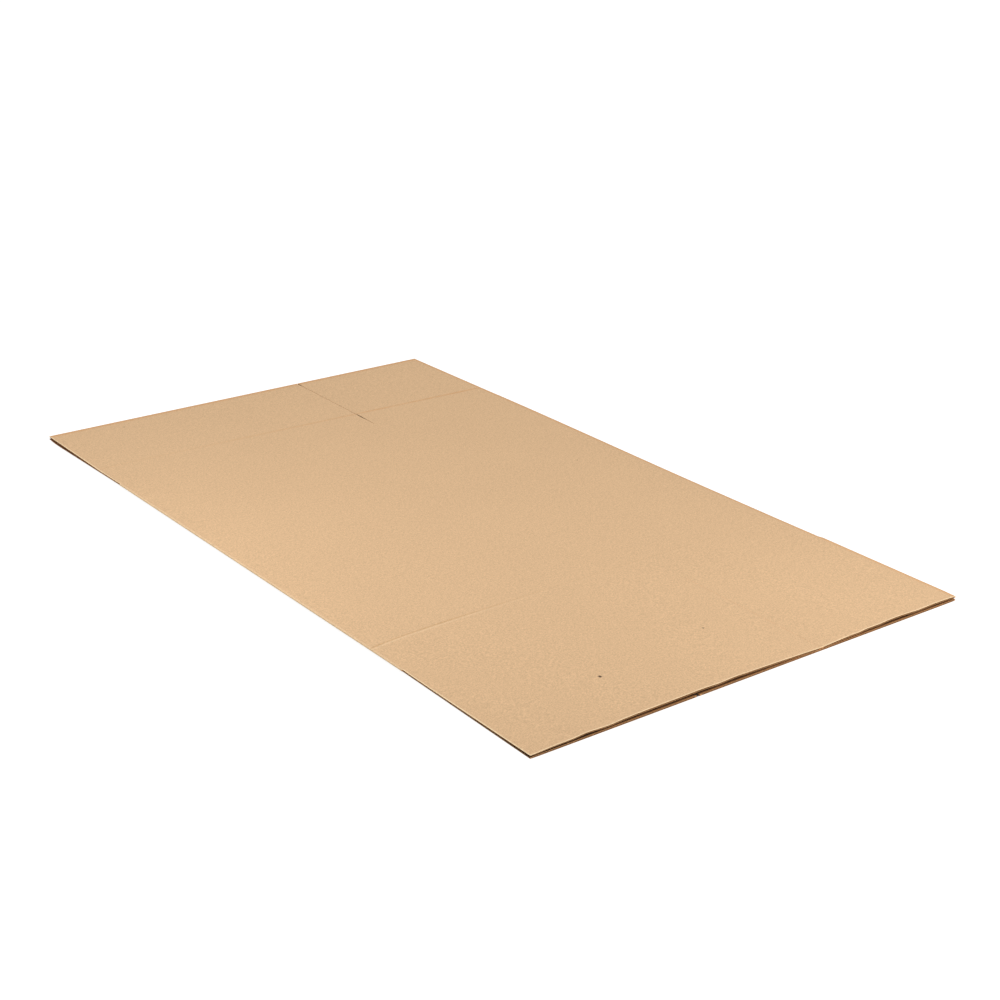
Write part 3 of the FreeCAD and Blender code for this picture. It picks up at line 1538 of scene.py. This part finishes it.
@dataclass(frozen=True)
class KraftFinish:
    """The outer paper: kraft with fibres, pressed lines, specks, painted highlights and shade.

    Args:
        look: the paper's colour, fibres and gloss.
        highlight_tone: the colour of the painted highlights.
        painted_shade_tone: the colour of the painted shade at the far and right rims and along the
            far crease.
        crease_shade_tone: the colour of the painted shade in the near crease's groove.
        speck_tone: the colour of a speck.
        near_rim: width of the painted highlight along the near cut end and the left side.
        far_rim: width of the painted shade along the far cut end.
        side_rim: width of the painted shade along the right side.
        fold_shine: strength of the painted highlight along the left fold.
        line_width: half width of the painted shade in the near crease.
        shine_place: distance from that crease to the painted highlight on the ridge in front of
            it.
        shine_width: half width of the strip.
        shine_strength: strength of it.
        warm_width: half width of the painted shade along the far crease.
        warm_strength: strength of it.
        wash: how much the flutes show through the paper.
        specks: the dark specks.
    """

    look: PaperLook = PaperLook((0.700, 0.466, 0.268))
    highlight_tone: Tone = (0.95, 0.73, 0.46)
    painted_shade_tone: Tone = (0.65, 0.362, 0.172)
    crease_shade_tone: Tone = (0.58, 0.35, 0.17)
    speck_tone: Tone = (0.10, 0.06, 0.04)
    near_rim: float = 4.0 * MM
    far_rim: float = 18.0 * MM
    side_rim: float = 14.0 * MM
    fold_shine: float = 0.3
    line_width: float = 2.6 * MM
    shine_place: float = 6.0 * MM
    shine_width: float = 3.2 * MM
    shine_strength: float = 0.25
    warm_width: float = 7.0 * MM
    warm_strength: float = 0.85
    wash: float = 0.12
    specks: tuple[Speck, ...] = (
        Speck(-245.4 * MM, -749.7 * MM, 4.2 * MM),
        Speck(24.4 * MM, -712.2 * MM, 2.2 * MM),
        Speck(372.7 * MM, 72.9 * MM, 1.7 * MM),
        Speck(-333.8 * MM, 842.9 * MM, 1.9 * MM),
    )

    def material(self, effects: ShaderEffects, carton: Carton) -> Material:
        """Makes the material.

        Args:
            effects: the shared node groups.
            carton: the carton, for the places of its lines and edges.

        Returns:
            The new material.
        """
        nodes = self.look.start("kraft_liner", effects)
        kit = nodes.kit
        x, y = kit.across_along()
        near_crease = CreaseNodes.make(kit, carton.near_crease, x, y)
        far_crease = CreaseNodes.make(kit, carton.far_crease, x, y)

        # Painted shade, a darker and more orange tone, at the far end, the right side and along
        # the far crease
        far_end = kit.fall(kit.less(carton.half_length, y), 0.0, self.far_rim)
        right = kit.fall(kit.less(carton.half_width, x), 0.0, self.side_rim)
        band = kit.times(far_crease.band(kit, effects, self.warm_width), self.warm_strength)
        painted_shade = kit.most(kit.most(far_end, right), band)

        # Painted highlights: pale at the near end and the left side, and on the ridge in front of
        # the near crease
        near_end = kit.fall(kit.plus(y, carton.half_length), 0.0, self.near_rim)
        flap = kit.math("GREATER_THAN", kit.math("ABSOLUTE", y), carton.body)
        left = kit.fall(kit.plus(x, carton.edge), 0.0, self.near_rim)
        left = kit.times(left, kit.most(flap, self.fold_shine))
        away = kit.math("ABSOLUTE", kit.plus(near_crease.away, self.shine_place))
        strip = kit.times(kit.fall(away, 0.0, self.shine_width), near_crease.strength)
        painted_highlight = kit.most(kit.most(near_end, left), kit.times(strip, self.shine_strength))

        # Painted shade in the near crease's groove
        deep = near_crease.band(kit, effects, self.line_width)
        dark = functools.reduce(kit.most, [speck.mask(kit, effects) for speck in self.specks])
        tone = kit.tint(painted_shade, self.look.tone, self.painted_shade_tone)
        tone = kit.tint(deep, tone, self.crease_shade_tone)
        tone = kit.tint(painted_highlight, tone, self.highlight_tone)
        tone = kit.tint(dark, tone, self.speck_tone)
        turn = kit.times(x, 2 * math.pi / carton.board.pitch)
        flutes = kit.times(kit.math("SINE", turn), self.wash)
        return nodes.finish(tone, kit.plus(nodes.height(), flutes))


@dataclass(frozen=True)
class RawPaperFinish:
    """Paper that a cut or a flute lays bare.

    Args:
        name: the material's name.
        tone: the paper's colour.
        grain: strength of the fine grain.
        grain_scale: grains in a metre.
        bump: strength of the grain's relief.
    """

    name: str
    tone: Tone
    grain: float = 0.3
    grain_scale: float = 2500.0
    bump: float = 0.4

    def material(self, effects: ShaderEffects) -> Material:
        """Makes the material, with the same fibres as the outer paper.

        Args:
            effects: the shared node groups.

        Returns:
            The new material.
        """
        look = PaperLook(
            self.tone, grain=self.grain, grain_scale=self.grain_scale, bump=self.bump,
        )
        nodes = look.start(self.name, effects)
        return nodes.finish(self.tone, nodes.height())


@dataclass(frozen=True)
class InsideFinish:
    """The inner liners: brown paper painted dark for the shade between the boards, with painted
    light where light comes in at the near cut end and the left side.

    Args:
        look: the paper's look, with its tone painted dark for the shade between the boards.
        rim_light_tone: the painted light at the cut end.
        rim: how deep that painted light goes.
        corner_rim: how deep it goes at the left corner.
        corner_reach: width from the corner over which it widens.
        side_light_tone: the painted light at the left side, along the far flaps.
        side_reach: how deep that goes.
    """

    # Its dark tone is painted shade between the boards
    look: PaperLook = PaperLook((0.15, 0.08, 0.04), grain=0.3)
    rim_light_tone: Tone = (0.80, 0.43, 0.19)
    rim: float = 8 * MM
    corner_rim: float = 1.5 * MM
    corner_reach: float = 280 * MM
    side_light_tone: Tone = (0.33, 0.15, 0.066)
    side_reach: float = 40 * MM

    def material(self, effects: ShaderEffects, carton: Carton) -> Material:
        """Makes the material.

        Args:
            effects: the shared node groups.
            carton: the carton, for its size.

        Returns:
            The new material.
        """
        nodes = self.look.start("inside_liner", effects)
        kit = nodes.kit
        x, y = kit.across_along()
        inward = kit.plus(x, carton.half_width)
        # Painted light at the left side, along the far flaps
        side_light = kit.times(kit.fall(inward, 0.0, self.side_reach), kit.span(y, 0.0, carton.body))
        tone = kit.tint(side_light, self.look.tone, self.side_light_tone)
        # Painted light at the near cut end, in a strip that narrows towards the left corner
        widening = kit.span(inward, 0.0, self.corner_reach)
        rim = kit.plus(kit.times(widening, self.rim - self.corner_rim), self.corner_rim)
        deep = kit.span(kit.plus(y, carton.half_length), 0.0, rim)
        return nodes.finish(kit.tint(deep, self.rim_light_tone, tone), nodes.height())


@dataclass(frozen=True)
class Finishes:
    """The finishes of the carton's papers."""

    kraft: KraftFinish = KraftFinish()
    cut: RawPaperFinish = RawPaperFinish("cut_paper", (0.95, 0.525, 0.24))
    # The fluting is darker than the cut paper: partly the medium's own colour, partly painted
    # shade in the flutes' hollows
    fluting: RawPaperFinish = RawPaperFinish("fluting", (0.52, 0.26, 0.11))
    inside: InsideFinish = InsideFinish()

    def materials(self, carton: Carton) -> list[Material]:
        """Makes the papers' materials.

        Args:
            carton: the carton that they dress.

        Returns:
            The materials, in the order of Paper.
        """
        effects = PaperPattern().effects()
        return [
            self.kraft.material(effects, carton),
            self.cut.material(effects),
            self.fluting.material(effects),
            self.inside.material(effects, carton),
        ]


@dataclass(frozen=True)
class Lamp:
    """A square lamp that shines straight down.

    Args:
        name: the lamp's name.
        place: where it hangs.
        size: width of its square.
        power: in watts.
    """

    name: str
    place: tuple[float, float, float]
    size: float
    power: float

    def build(self) -> None:
        """Makes the lamp, which doesn't show itself to the camera."""
        data = bpy.data.lights.new(self.name, "AREA")
        data.shape = "SQUARE"
        data.size = self.size
        data.energy = self.power
        light = new_object(self.name, data)
        light.location = self.place
        light.visible_camera = False


@dataclass(frozen=True)
class Studio:
    """The white floor, the soft light and the camera.

    Args:
        camera_place: where the camera stands.
        camera_aim: the point on the floor that it looks at.
        camera_roll: its lean, in degrees.
        lens: focal length in millimetres.
        sensor: sensor width in millimetres.
        sight: the nearest and the farthest that it sees.
        floor_half: half the width of the floor.
        floor_share: how much light the floor gives back to the carton.
        floor_shade: how much of it the camera sees, so that the shadow is a faint one.
        floor_glow: how much light of its own it shows the camera, outside the carton.
        shade_low: left near corner of the floor's painted shadow under the carton, where it
            doesn't glow.
        shade_high: right far corner of it.
        shade_blur: width of its soft sides at the left and near.
        shade_fade: the same at the right and at the far end.
        sky: strength of the light from all round.
        lamps: the lamps above the carton.
    """

    camera_place: tuple[float, float, float] = (-2.0910, -2.9112, 1.4725)
    camera_aim: tuple[float, float, float] = (0.1129, 0.0081, 0.0)
    camera_roll: float = 0.477
    lens: float = 67.92
    sensor: float = 36.0
    sight: tuple[float, float] = (0.05, 100.0)
    floor_half: float = 12.0
    floor_share: float = 0.8
    floor_shade: float = 0.3
    floor_glow: float = 0.9
    shade_low: tuple[float, float] = (-484 * MM, -883.5 * MM)
    shade_high: tuple[float, float] = (494 * MM, 884 * MM)
    shade_blur: float = 1.5 * MM
    shade_fade: tuple[float, float] = (1.5 * MM, 30 * MM)
    sky: float = 0.54
    lamps: tuple[Lamp, ...] = (
        Lamp("overhead", (0.0, 0.0, 4.0), 4.0, 74.0),
        Lamp("left", (-0.86, 0.05, 0.86), 0.5, 2.0),
        Lamp("front", (0.45, -1.04, 0.80), 0.5, 1.6),
    )

    def build(self) -> None:
        """Makes the camera, the floor, the surroundings and the lamps."""
        self.build_camera()
        self.build_floor()
        self.build_surroundings()
        for lamp in self.lamps:
            lamp.build()

    def build_camera(self) -> None:
        """Makes the camera at the photograph's viewing angle."""
        data = bpy.data.cameras.new("camera")
        data.lens = self.lens
        data.sensor_width = self.sensor
        data.clip_start, data.clip_end = self.sight
        camera = new_object("camera", data)
        place, aim = Vector(self.camera_place), Vector(self.camera_aim)
        turn = (aim - place).to_track_quat("-Z", "Y").to_matrix().to_4x4()
        roll = Matrix.Rotation(math.radians(self.camera_roll), 4, "Z")
        camera.matrix_world = Matrix.Translation(place) @ turn @ roll
        bpy.context.scene.camera = camera

    def build_floor(self) -> None:
        """Makes a white floor that still takes the carton's shadow."""
        half = self.floor_half
        corners = [(-half, -half, 0), (half, -half, 0), (half, half, 0), (-half, half, 0)]
        mesh = bpy.data.meshes.new("floor")
        mesh.from_pydata(corners, [], [(0, 1, 2, 3)])
        mesh.materials.append(self.floor_material())
        floor = new_object("floor", mesh)

    def seen(self, kit: NodeKit) -> NodeSocket:
        """Gives 1 for what the camera sees, straight or through gloss, and 0 for light.

        Args:
            kit: the node helper.

        Returns:
            The mask.
        """
        path = kit.add("ShaderNodeLightPath", {}).outputs
        straight = kit.most(path["Is Camera Ray"], path["Is Glossy Ray"])
        return kit.most(straight, path["Is Transmission Ray"])

    def floor_material(self) -> Material:
        """Makes the floor's material: partly lit, and glowing to the camera round the carton, with
        a painted shadow under it that fades out beyond its far end.

        Returns:
            The new material.
        """
        material, kit, shader = new_material("floor_white", roughness=1.0, specular=0.0)
        seen = self.seen(kit)
        # Painted shadow: no glow under the carton, fading out beyond its far end
        under: object = 1.0
        sides = zip(kit.across_along(), self.shade_low, self.shade_high, self.shade_fade)
        for place, low, high, fade in sides:
            under = kit.times(under, kit.window(place, low, high, self.shade_blur, fade))
        glow = kit.times(kit.times(seen, kit.less(1.0, under)), self.floor_glow)
        tone = kit.tint(seen, (self.floor_share,) * 3, (self.floor_shade,) * 3)
        values = {"Base Color": tone, "Emission Color": WHITE, "Emission Strength": glow}
        kit.feed(shader, values)
        return material

    def build_surroundings(self) -> None:
        """Makes even light from all round, and white behind the floor for the camera."""
        world = bpy.data.worlds.new("studio")
        world.use_nodes = True
        kit = NodeKit(world.node_tree)
        seen = self.seen(kit)
        strength = kit.plus(seen, kit.times(kit.less(1.0, seen), self.sky))
        backdrop = world.node_tree.nodes["Background"]
        kit.feed(backdrop, {"Strength": strength, "Color": WHITE})
        bpy.context.scene.world = world


def make_carton(low: Vector, high: Vector) -> Object:
    """Makes the carton's mesh and its papers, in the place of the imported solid.

    Args:
        low: lowest corner of the solid's box.
        high: highest corner of the solid's box.

    Returns:
        The carton's object.
    """
    carton = Carton(half_width=(high.x - low.x) / 2, half_length=(high.y - low.y) / 2)
    piece = carton.build().to_object("flat_carton", Finishes().materials(carton))
    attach(piece, "root")
    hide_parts(NODE)
    return piece


def main() -> None:
    """Builds the carton, then the studio round it, and logs the carton's triangles."""
    logging.basicConfig(level=logging.INFO, format="%(name)s: %(message)s")
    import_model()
    piece = make_carton(*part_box(NODE))
    triangles = sum(len(face.vertices) - 2 for face in piece.data.polygons)
    LOG.info("%s: %d triangles", piece.name, triangles)
    bpy.context.scene.view_settings.view_transform = "Standard"
    Studio().build()
    LOG.info("studio: floor, lights and camera")


if __name__ == "__main__":
    main()
